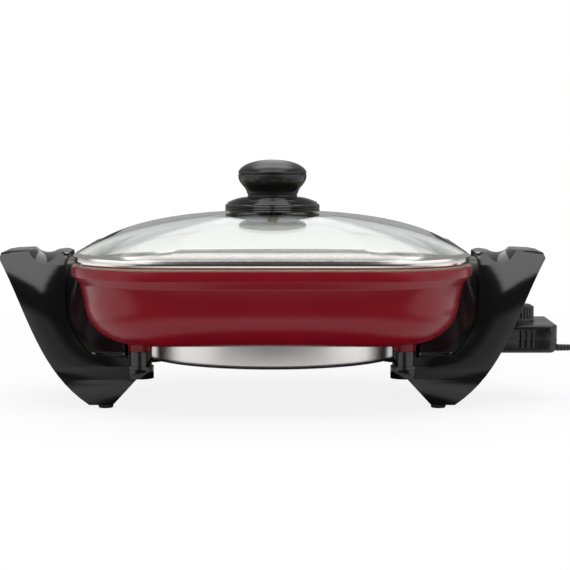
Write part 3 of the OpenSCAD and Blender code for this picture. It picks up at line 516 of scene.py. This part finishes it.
# these points are the route in part.scad
cordForm = {"d": 4.1, "startX": 222.5, "y": -24.0, "z": 43.0, "turns": 5.25, "coilR": 28.8, "coilOut": 74,
            "turnGap": 0.55, "layerGap": 0.5, "stepsPerTurn": 24,
            "hang": [(12, 0.98), (20, 0.9), (27, 0.76), (33, 0.58), (39, 0.38), (45, 0.2),
                     (52, 0.08), (60, 0.02)],
            "fall": [(10, 6.4), (18, 4.8), (26, 3), (34, 2.3), (42, 2.8), (50, 4.8),
                     (58, 6.4), (63, 6.8), (68, 6.8)]}
reliefForm = {"length": 26.0, "inside": 22.0, "wall": 0.45, "rings": 9, "first": 0.6, "tip": 3.0,
              "proud": 0.25, "taper": 0.55, "groove": 0.35, "sides": 28}
# half: half widths, and how far along the plug they are
plugForm = {"sides": 40, "swell": 16, "squareFrom": 8, "square": 2.2, "face": 0.8,
            "half": [(2.3, 0), (3.4, 6), (4.2, 12), (6, 18), (11, 22), (15.4, 25.5),
                     (17, 29), (17, 37), (15.8, 38)]}


def cordRoute():
    f = cordForm
    d = f["d"]
    start = Vector((f["startX"] + reliefForm["length"], f["y"], f["z"]))
    coilAt = Vector((start.x + f["coilOut"], f["y"] + f["coilR"], d / 2))
    pitch, rise, half = d + f["turnGap"], d + f["layerGap"], f["turns"] / 2
    steps = math.ceil(f["stepsPerTurn"] * f["turns"])
    coil = []
    for i in range(steps + 1):  # inwards on the table, over itself in the middle, and outwards on top
        t = f["turns"] * i / steps
        r = f["coilR"] - pitch * (half - abs(t - half))
        a = math.radians(360 * t - 90)
        climb = min(1, max(0, t - half + 0.25) * 2)
        coil.append(coilAt + Vector((r * math.cos(a), r * math.sin(a),
                                     rise * (3 - 2 * climb) * climb * climb)))
    lead = [start, start + Vector((d, 0, 0))]
    lead += [Vector((start.x + x, f["y"], coilAt.z + share * (f["z"] - coilAt.z))) for x, share in f["hang"]]
    tail = [coil[-1] + Vector((0, d, 0))]
    tail += [Vector((coilAt.x + f["coilR"], coilAt.y + y, z)) for y, z in f["fall"]]
    return lead + [coil[0] - Vector((d, 0, 0))] + coil + tail


def makeCord():
    route = cordRoute()
    curve = bpy.data.curves.new("cord", "CURVE")
    curve.dimensions = "3D"
    curve.bevel_depth = cordForm["d"] / 2 * mm
    curve.bevel_resolution = 3
    curve.resolution_u = 3
    curve.use_fill_caps = True
    spline = curve.splines.new("BEZIER")
    spline.bezier_points.add(len(route) - 1)
    for knot, p in zip(spline.bezier_points, route):
        knot.co = point(p)
        knot.handle_left_type = knot.handle_right_type = "AUTO"
    curve.materials.append(finishes["cord"])
    cord = shown(bpy.data.objects.new("cord", curve))
    length = sum((b - a).length for a, b in zip(route, route[1:])) * mm
    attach(cord, "control")
    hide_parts("cord_lead", "cord_coil", "cord_tail")
    return cord, length, point(route[0])


def makeRelief():
    f, c = reliefForm, cordForm
    r = c["d"] / 2 + f["wall"]
    path = [(0, -f["inside"]), (r, -f["inside"], 0.3), (r, 0.2, 0.2)]
    x = f["first"]
    step = (f["length"] - f["tip"]) / f["rings"]
    for i in range(f["rings"]):  # moulded rings that get smaller along the cord
        big = r + f["proud"] - f["taper"] * i / f["rings"]
        small = big - f["groove"]
        path += [(small, x, 0.1), (big, x + 0.3, 0.15), (big, x + step - 0.9, 0.15),
                 (small, x + step - 0.6, 0.1)]
        x += step
    path += [(c["d"] / 2 + 0.3, x + 0.3, 0.2), (c["d"] / 2 + 0.15, f["length"], 0.2), (0, f["length"])]
    relief = lathe("strainRelief", softened(path), "cord", sides=f["sides"])
    turned(relief, (c["startX"], c["y"], c["z"]))
    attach(relief, "control")
    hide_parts("strain_relief")
    return relief


def turned(obj, place):  # turns a lathed mesh from +Z to +X and moves it to a place
    home = Matrix.Translation(point((0, 0, 0)))
    spin = Matrix.Rotation(math.pi / 2, 4, "Y")
    obj.data.transform(Matrix.Translation(point(place)) @ spin @ home.inverted())


def makePlug():
    f = plugForm
    end = cordRoute()[-1]
    neck, last = f["half"][0][0], f["half"][-1][1]
    rows = []
    for w, y in f["half"]:
        h = min(end.z, neck + (end.z - neck) * min(1, y / f["swell"])) - (f["face"] if y == last else 0)
        # rounder at the cord's end
        p = 2 / (2 + f["square"] * min(1, max(0, y - f["squareFrom"]) / f["swell"]))
        ring = []
        for k in range(f["sides"]):
            a = 2 * math.pi * k / f["sides"]
            c, s = math.cos(a), math.sin(a)
            ring.append((end.x + w * math.copysign(abs(c) ** p, c), end.y + y,
                         end.z + h * math.copysign(abs(s) ** p, s)))
        rows.append(ring)
    plug = grid("plugBody", rows, ["cord"], capped=True, sharp=50)
    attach(plug, "control")
    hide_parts("plug_body")
    return plug


print("cord: lead, coil, tail, strain relief and plug")
cord, cordLength, cordExit = makeCord()
relief = makeRelief()
plug = makePlug()


def makePan():
    f = panForm
    lip, under, w = f["lip"], f["lip"] - f["depth"], f["wall"]
    bellyTop = under + f["belly"]
    stepZ = lip - f["band"] - f["step"]
    bellyD = -f["step"] - f["lean"] - f["belly"]  # distance of the belly's centre from the lip's edge
    floorD = -f["corner"] + f["floorEdge"]
    outside = softened([(-1.4, lip, 0.7), (0, lip, 0.9), (0, lip - f["band"], 0.9), (-f["step"], stepZ, 3.0),
                        (bellyD + f["belly"], bellyTop)])
    outside = [(-2.0, lip)] + outside[1:-1] + arc(bellyD, bellyTop, f["belly"], 0, -90, f["bellySteps"])
    outside.append((floorD, under))
    miter = w * math.tan(math.radians(22.5))
    inside = softened([(-w, lip, 0.9), (-w, lip - f["band"] + miter, 2.0),
                       (-f["step"] - w, stepZ + miter, 3.0),
                       (bellyD + f["belly"] - w, bellyTop)])
    inside = [(1.2 - w, lip)] + inside[1:-1] + arc(bellyD, bellyTop, f["belly"] - w, 0, -90, f["bellySteps"])
    inside.append((floorD, under + w))
    rowSlots = [0] * (len(outside) - 1) + [1] * (len(inside) + 1)
    parts = [grid("panShell", around(outside[::-1] + inside), ["red", "cream"], rowSlots,
                  capped=True, sharp=60)]
    foot = softened([(0, f["bossZ"]), (f["boss"], f["bossZ"], 0.6), (f["boss"] + 0.6, under - 2.5, 4.0),
                     (f["boss"] + 6.0, under + 0.4)]) + [(0, under + 0.5)]
    for x in (-1, 1):
        for y in (-1, 1):
            parts.append(lathe("boss", foot, "red", (x * f["bossX"], y * f["bossY"]), 48))
    post = softened([(0, f["postZ"]), (f["postR"], f["postZ"], 0.4), (f["postR"] + 0.4, under - 1.5, 1.5),
                     (f["postR"] + 3, under + 0.3)]) + [(0, under + 0.4)]
    for a in f["postAngles"]:
        a = math.radians(a)
        parts.append(lathe("post", post, "red", (f["postAt"] * math.cos(a), f["postAt"] * math.sin(a)), 32))
    parts.append(sunk(cadCopy("pan_body", "portPlate", "red", keep=onPortPlate), plateForm["sink"]))
    pan = joined("panBody", parts, 50)
    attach(pan, "base")
    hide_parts("pan_body")


def sunk(obj, depth):  # carries an open edge up into the wall that it stands on, and closes it
    bm = bmesh.new()
    bm.from_mesh(obj.data)
    made = bmesh.ops.extrude_edge_only(bm, edges=[e for e in bm.edges if e.is_boundary])["geom"]
    for vert in [v for v in made if isinstance(v, bmesh.types.BMVert)]:
        vert.co.z += depth * mm
    bmesh.ops.holes_fill(bm, edges=[e for e in bm.edges if e.is_boundary], sides=0)
    bmesh.ops.recalc_face_normals(bm, faces=bm.faces)
    bm.to_mesh(obj.data)
    bm.free()
    return obj


def onPortPlate(c):  # a face of the CAD's pan that stands out from the shell, on the control's side
    f, p = panForm, plateForm
    x, y, z = c.x / mm - panX, abs(c.y / mm), c.z / mm
    belly = f["belly"]
    reach = x - (f["half"] - f["step"] - f["lean"] - belly)
    if not p["from"] < reach < belly or y > p["half"]:
        return False
    return z < f["lip"] - f["depth"] + belly - math.sqrt(belly ** 2 - reach ** 2) - p["off"]


def cadCopy(node, name, slot, keep=None, bevel=0.0, sharp=meshForm["cadSharp"]):
    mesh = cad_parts[node].data.copy()  # merged, with its edges eased
    mesh.materials.clear()
    mesh.materials.append(finishes[slot])
    bm = bmesh.new()
    bm.from_mesh(mesh)
    for face in bm.faces:
        face.material_index = 0
    bmesh.ops.remove_doubles(bm, verts=bm.verts, dist=meshForm["cadWeld"])
    if keep:
        away = [face for face in bm.faces if not keep(face.calc_center_median())]
        bmesh.ops.delete(bm, geom=away, context="FACES")
    bmesh.ops.dissolve_limit(bm, angle_limit=math.radians(meshForm["cadFlat"]), verts=bm.verts,
                             edges=bm.edges, delimit={"NORMAL"})
    bm.to_mesh(mesh)
    bm.free()
    obj = shown(bpy.data.objects.new(name, mesh))
    smoothed(obj, sharp)
    if bevel:
        ease = obj.modifiers.new("ease", "BEVEL")
        ease.width = bevel * mm
        ease.segments = 3
        ease.limit_method = "ANGLE"
        ease.angle_limit = math.radians(sharp)
        ease.use_clamp_overlap = True
        ease.harden_normals = False
        ease.miter_outer = "MITER_ARC"
        applied(obj)
        smoothed(obj, sharp)
    return obj


def applied(obj):  # turns the evaluated object into a plain mesh and drops its modifiers
    graph = bpy.context.evaluated_depsgraph_get()
    mesh = bpy.data.meshes.new_from_object(obj.evaluated_get(graph),
                                           preserve_all_data_layers=True, depsgraph=graph)
    obj.modifiers.clear()
    obj.data = mesh


print("pan: shell, bosses, posts and port plate")
makePan()

handleForm = {"ease": 0.9}
padForm = {"r": 5.7, "h": 3.0, "x": 128.0, "y": 52.8, "hollow": 0.35, "ring": 2.0}


def makeHandles():
    for side in ("left", "right"):
        handle = cadCopy("handle_" + side, "handle" + side.capitalize(), "black", bevel=handleForm["ease"])
        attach(handle, "base")
        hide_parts("handle_" + side)


def makePads():
    f = padForm
    r, h = f["r"], f["h"]
    path = softened([(0, f["hollow"]), (r - f["ring"] - 0.4, f["hollow"], 0.3), (r - f["ring"], 0, 0.3),
                     (r - 0.5, 0, 0.5), (r, 0.8, 0.4), (r, h)]) + [(0, h + 0.2)]
    pads = [lathe("pad", path, "rubber", (x * f["x"], y * f["y"]), 40) for x in (-1, 1) for y in (-1, 1)]
    pads = joined("footPads", pads, 50)
    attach(pads, "base")
    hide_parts("foot_pads")


print("handles and feet")
makeHandles()
makePads()

glassForm = {"crown": 37.2, "t": 4.0, "share": 0.28, "rings": 44, "crowding": 0.9, "edgeR": 1.2,
             "edgeSteps": 6, "hole": 3.0, "hip": 1.15, "round": 0.17}
rimForm = {"edge": 1.2, "t": 0.8, "gap": 0.3, "h": 7.25, "skirt": 3.5, "skirtGap": 0.8,
           "shelf": 4.6, "over": 2.2,  # front: out from the edge and up from the lip
           "front": [(-2.1, 0, 0.3), (-1.9, 0.9, 0.3), (0, 4.1, 0.5)]}
glassEdgeZ = panForm["lip"] + rimForm["h"] + rimForm["gap"]
crownZ = panForm["lip"] + glassForm["crown"]
glassD = -rimForm["edge"] - rimForm["t"] - rimForm["gap"]  # the glass's edge, from the lip's edge
glassHalf = panForm["half"] + glassD


def domeZ(s):  # the dome's height at a share of the way out
    share = glassForm["share"]
    return crownZ - (crownZ - glassEdgeZ) * ((1 - share) * s ** 2 + share * s ** 6)


def domeRing(s, drop):  # a square whose corners get tighter inwards, and a circle under the knob
    f = glassForm
    half = s * glassHalf
    ease = min(1, max(0, (s - f["round"]) / f["round"]))
    ease = ease * ease * (3 - 2 * ease)
    corner = half + (min(half, (panForm["corner"] + glassD) * s ** f["hip"]) - half) * ease
    n, m = panForm["sideSteps"], panForm["cornerSteps"]
    ring = []
    for quarter in range(4):
        turn = Matrix.Rotation(quarter * math.pi / 2, 2)
        side = [Vector((half, (half - corner) * (2 * k / n - 1))) for k in range(n)]
        bend = [Vector((half - corner + corner * math.cos(math.pi / 2 * k / m),
                        half - corner + corner * math.sin(math.pi / 2 * k / m))) for k in range(m)]
        ring += [(*(turn @ p), domeZ(s) - drop) for p in side + bend]
    return ring


def makeGlass():
    f = glassForm
    first = f["hole"] / glassHalf
    shares = [first + (1 - first) * (i / f["rings"]) ** f["crowding"] for i in range(f["rings"])]
    rows = [domeRing(s, f["t"]) for s in shares]
    for k in range(f["edgeSteps"] + 1):  # the ground edge is rounded
        a = math.radians(-90 + 180 / f["edgeSteps"] * k)
        s = 1 - f["edgeR"] / glassHalf + f["edgeR"] / glassHalf * math.cos(a)
        rows.append(domeRing(s, f["t"] / 2 - f["t"] / 2 * math.sin(a)))
    rows += [domeRing(s, 0) for s in reversed(shares)]
    glass = grid("lidGlass", rows, ["glass"], closedRound=True, sharp=60)
    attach(glass, "lid")
    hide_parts("lid_glass")


def makeRim():
    f = rimForm
    lip, t = panForm["lip"], f["t"]
    shelfZ = glassEdgeZ - glassForm["t"]
    innerD = glassD - f["shelf"]
    skirtD = -panForm["wall"] - f["skirtGap"]
    edgeD = glassD + f["gap"]
    over = Vector((glassD - f["over"], domeZ(1 - f["over"] / glassHalf) + 0.35))  # the lip's end
    tip = over + Vector((over.y - glassEdgeZ - 0.35, edgeD - over.x)).normalized() * t
    path = softened([(innerD, lip - f["skirt"], 0.3), (skirtD, lip - f["skirt"], 0.3), (skirtD, lip, 0.6)]
                    + [(-f["edge"] + d, lip + z, fillet) for d, z, fillet in f["front"]]
                    + [(edgeD - 0.15 + t, glassEdgeZ + 0.1, 0.8), (tip.x, tip.y)])
    path += softened([path[-1], (tip.x, tip.y, 0.25), (over.x, over.y, 0.25), (edgeD, glassEdgeZ + 0.35, 0.3),
                      (edgeD, shelfZ, 0.2), (innerD, shelfZ, 0.3), path[0]])[1:-1]
    rim = grid("lidRim", around(path), ["rimSteel"], closedRound=True, sharp=50)
    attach(rim, "lid")
    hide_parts("lid_rim")


knobForm = {"r": 27.0, "neckR": 19.5, "neckZ": 159.1, "seamZ": 178.7, "topZ": 189.6, "hole": 2.48,
            "pegR": 9.0, "gap": 0.06, "sides": 128, "sharp": 42}
flangeForm = {"hub": 13.0, "r": 37.5, "z": 148.9, "edge": 5.6, "thick": 3.0, "ridges": 7, "sharp": 24,
              "ridge": ((0.1, 0.0), (0.35, 0.85), (0.5, 1.0), (0.75, 0.75), (1.0, 0.0)),  # share, lift
              "edgeRidges": 3, "edgePitch": 1.75, "edgeDepth": 0.5}


def makeFlange():
    f, k = flangeForm, knobForm
    top = f["z"] + f["edge"]
    path = softened([(k["hole"], crownZ + 1), (f["hub"], crownZ + 1, 0.3), (f["hub"], top - f["thick"], 0.5),
                     (f["r"] - 3.2, top - f["thick"], 0.8), (f["r"] - 2.2, f["z"], 0.6),
                     (f["r"] - f["edgeDepth"], f["z"], 0.3)])
    for i in range(f["edgeRidges"]):  # turned ridges round the edge
        low = f["z"] + 0.2 + i * f["edgePitch"]
        path += [(f["r"], low + 0.4), (f["r"], low + 0.8), (f["r"] - f["edgeDepth"], low + 1.65)]
    outer, inner, rimZ = f["r"] - 1.6, k["neckR"] + 0.2, top + 0.4
    path += [(outer, rimZ)]
    for i in range(f["ridges"]):  # and finer ones on a low dome up to the neck
        for share, lift in f["ridge"]:
            way = (i + share) / f["ridges"]
            path.append((outer + (inner - outer) * way,
                         rimZ + (k["neckZ"] - rimZ) * (1 - (1 - way) ** 2) + lift))
    path += [(k["hole"], k["neckZ"])]
    return lathe("knobFlange", path, "flangeBlack", sides=k["sides"], closed=True, sharp=f["sharp"])


def makeKnob():
    f = knobForm
    r, neckR, neckZ, seamZ, gap, peg = f["r"], f["neckR"], f["neckZ"], f["seamZ"], f["gap"], f["pegR"]
    flange = makeFlange()
    body = softened([(f["hole"], neckZ), (neckR, neckZ, 0.3), (neckR + 0.2, neckZ + 2.6, 0.5),
                     (neckR - 0.3, neckZ + 3.2, 0.3), (neckR + 0.6, neckZ + 3.8)])
    body += bezier((neckR + 0.6, neckZ + 3.8), (neckR + 1.6, neckZ + 10),
                   (r, seamZ - 9), (r, seamZ - 1.2), 18)[1:]
    body += [(r - 0.15, seamZ - 0.35), (r - 0.6, seamZ - gap), (peg, seamZ - gap), (peg, seamZ - 6),
             (f["hole"], seamZ - 6)]
    grip = lathe("knobGrip", body, "knobBlack", sides=f["sides"], closed=True, sharp=f["sharp"])
    cap = softened([(0, seamZ - 3), (peg - 0.3, seamZ - 3, 0.3), (peg - 0.3, seamZ + gap),
                    (r - 0.6, seamZ + gap, 0.1), (r - 0.15, seamZ + 0.35, 0.2), (r, seamZ + 1.3)])
    cap += bezier((r, seamZ + 1.3), (r - 2.5, seamZ + 7.4), (r / 2, f["topZ"]), (0, f["topZ"]), 22)[1:]
    cap = lathe("knobCap", cap, "knobBlack", sides=f["sides"], sharp=f["sharp"])
    for piece, node in ((flange, "knob_flange"), (grip, "knob_body"), (cap, "knob_cap")):
        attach(piece, "lid")
        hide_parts(node)


print("lid: glass, rim and knob")
makeGlass()
makeRim()
makeKnob()


def makeReflector():
    dish = cadCopy("heat_reflector", "heatReflector", "brushed", sharp=35)
    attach(dish, "base")
    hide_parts("heat_reflector")


print("under the pan: reflector")
makeReflector()

housingForm = {"ease": 0.5}
gripForm = {"x": 198.5, "y": 33.35, "ribs": 3, "pitch": 4.4, "ribR": 1.2, "z": (44.6, 56.8)}
dialForm = {"x": 192.7, "r": 14.3, "ribs": 32, "ribR": 0.85, "z": (64.5, 73.4), "ease": 0.2}
ribSides = 12


def ribTree(name, inRing):  # upright ribs in a ring or in a row
    tree = bpy.data.node_groups.new(name, "GeometryNodeTree")
    tree.interface.new_socket("Geometry", in_out="OUTPUT", socket_type="NodeSocketGeometry")
    for label, kind in (("Count", "Int"), ("Spacing", "Float"), ("Rib radius", "Float"),
                        ("Rib height", "Float"), ("Place", "Vector"), ("Finish", "Material")):
        tree.interface.new_socket(label, in_out="INPUT", socket_type="NodeSocket" + kind)
    add, link = tree.nodes.new, tree.links.new
    sizes, result = add("NodeGroupInput"), add("NodeGroupOutput")
    rib = add("GeometryNodeMeshCylinder")
    rib.inputs["Vertices"].default_value = ribSides
    link(sizes.outputs["Rib radius"], rib.inputs["Radius"])
    link(sizes.outputs["Rib height"], rib.inputs["Depth"])
    if inRing:
        points = add("GeometryNodeMeshCircle")
        link(sizes.outputs["Count"], points.inputs["Vertices"])
        link(sizes.outputs["Spacing"], points.inputs["Radius"])
    else:
        points = add("GeometryNodeMeshLine")
        step = add("ShaderNodeCombineXYZ")
        link(sizes.outputs["Count"], points.inputs["Count"])
        link(sizes.outputs["Spacing"], step.inputs["X"])
        link(step.outputs[0], points.inputs["Offset"])
    copies, move = add("GeometryNodeInstanceOnPoints"), add("GeometryNodeTransform")
    solid, coat = add("GeometryNodeRealizeInstances"), add("GeometryNodeSetMaterial")
    link(points.outputs["Mesh"], copies.inputs["Points"])
    link(rib.outputs["Mesh"], copies.inputs["Instance"])
    link(copies.outputs[0], move.inputs["Geometry"])
    link(sizes.outputs["Place"], move.inputs["Translation"])
    link(move.outputs[0], solid.inputs[0])
    link(solid.outputs[0], coat.inputs["Geometry"])
    link(sizes.outputs["Finish"], coat.inputs["Material"])
    link(coat.outputs[0], result.inputs[0])
    return tree


def grownRibs(name, tree, form, count, spacing, x, y, finish):  # the tree's result as a plain mesh
    low, high = form["z"]
    values = {"Count": count, "Spacing": spacing * mm, "Rib radius": form["ribR"] * mm,
              "Rib height": (high - low) * mm, "Place": point((x, y, (low + high) / 2)),
              "Finish": finishes[finish]}
    obj = shown(bpy.data.objects.new(name, bpy.data.meshes.new(name)))
    modifier = obj.modifiers.new("ribs", "NODES")
    modifier.node_group = tree
    for item in tree.interface.items_tree:
        if item.in_out == "INPUT":
            modifier[item.identifier] = values[item.name]
    applied(obj)
    return obj


def makeHousing():
    for node, name in (("control_base", "controlBase"), ("control_cover", "controlCover")):
        shell = cadCopy(node, name, "controlBlack", bevel=housingForm["ease"])
        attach(shell, "control")
        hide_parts(node)


def makeGrips():
    f = gripForm
    tree = ribTree("ribRow", False)
    x = f["x"] - f["pitch"] * (f["ribs"] - 1) / 2
    rows = [grownRibs("gripRow", tree, f, f["ribs"], f["pitch"], x, side * f["y"], "controlBlack")
            for side in (-1, 1)]
    grip = joined("gripRibs", rows, meshForm["sharp"])
    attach(grip, "control")


def makeDial():
    f = dialForm
    knurl = grownRibs("knurl", ribTree("knurlRing", True), f, f["ribs"], f["r"], f["x"], 0, "dialBlack")
    axis = point((f["x"], 0, 0))
    knurl.data.transform(Matrix.Translation(axis) @ Matrix.Rotation(math.pi / f["ribs"], 4, "Z")
                         @ Matrix.Translation(-axis))  # half a pitch on
    body = cadCopy("control_dial", "dialBody", "dialBlack", bevel=f["ease"])
    dial = joined("controlDial", [body, knurl], meshForm["sharp"])
    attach(dial, "dial")
    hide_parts("control_dial")


print("heat control")
makeHousing()
makeGrips()
makeDial()

nodeFinishes = {  # CAD nodes that keep their shape
    "heating_element": "element", "terminal_pins": "brightSteel", "terminal_insulators": "ceramic",
    "probe_sleeve": "brightSteel", "reflector_screws": "zinc", "handle_screws": "zinc", "knob_gasket": "seal",
    "knob_washer": "zinc", "knob_screw": "zinc", "control_screws": "zinc", "probe_rod": "brightSteel",
    "thermostat_frame": "zinc", "insulator_stack": "ceramic", "bimetal_blade": "brass", "contact_arm": "brass",
    "contact_sockets": "brass", "cord_clamp": "clamp", "plug_pins": "brightSteel", "dial_cap": "dialGrey",
    "dial_shaft": "zinc",
}
for node, slot in nodeFinishes.items():
    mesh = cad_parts[node].data
    for i in range(len(mesh.materials)):
        mesh.materials[i] = finishes[slot]
